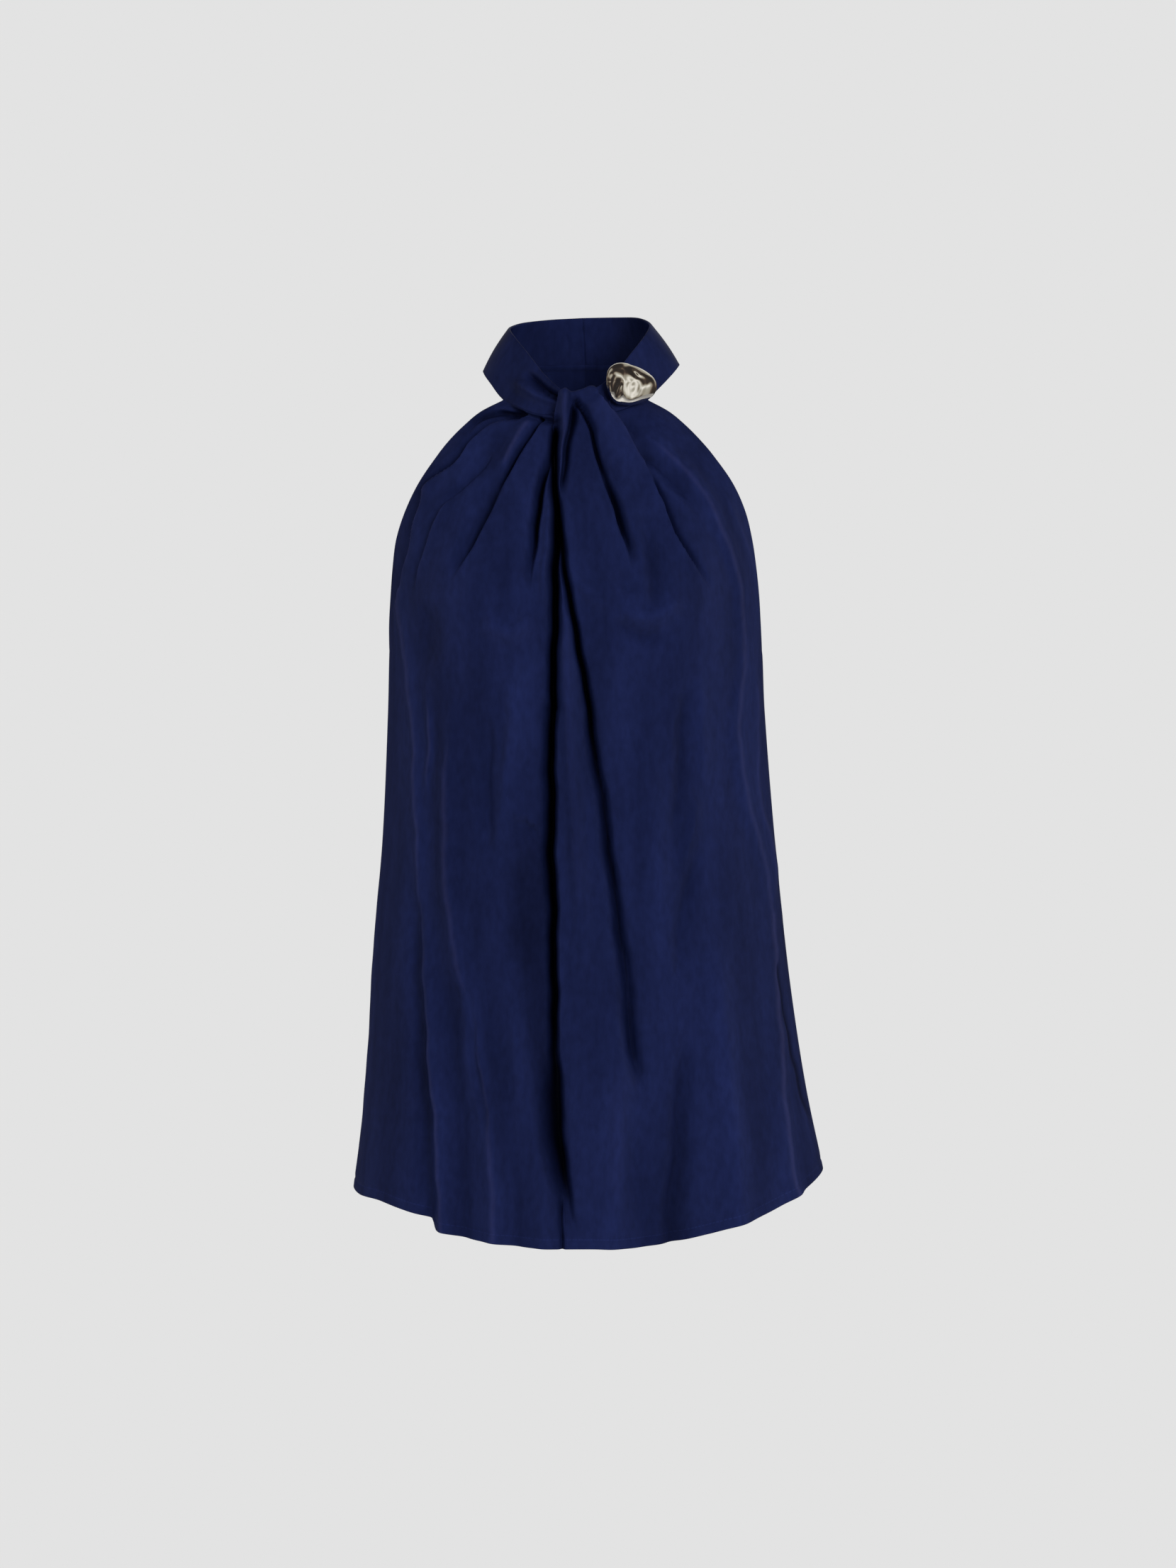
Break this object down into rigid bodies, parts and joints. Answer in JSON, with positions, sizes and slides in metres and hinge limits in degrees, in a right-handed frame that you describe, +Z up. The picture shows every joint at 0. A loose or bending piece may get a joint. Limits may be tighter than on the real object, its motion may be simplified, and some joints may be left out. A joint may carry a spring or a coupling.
{
  "type": "halter neck top",
  "caption": "Hollow worn form of a sleeveless halter neck top in navy cloth, gathered and twisted at the throat into a collar strip with a polished metal ornament.",
  "frame": {"origin": "middle of the neck, level with the front corners of the collar strip's lower edge, where the wearer's neck holds the top", "axes": "+Z up, -Y out of the front, +X to the viewer's right of the front"},
  "size_m": [0.3707, 0.2509, 0.7264],
  "materials": {
    "navy_front_left": "satin-backed weave",
    "navy_front_right": "satin-backed weave",
    "navy_back_left": "satin-backed weave",
    "navy_back_right": "satin-backed weave",
    "navy_collar_left": "satin-backed weave",
    "navy_collar_right": "satin-backed weave",
    "metal": "polished, lumpy cast"
  },
  "bodies": {
    "root": {"front_left": "navy_front_left", "front_right": "navy_front_right", "back_left": "navy_back_left", "back_right": "navy_back_right", "collar_left": "navy_collar_left", "collar_right": "navy_collar_right", "knob": "metal"}
  },
  "joints": []
}
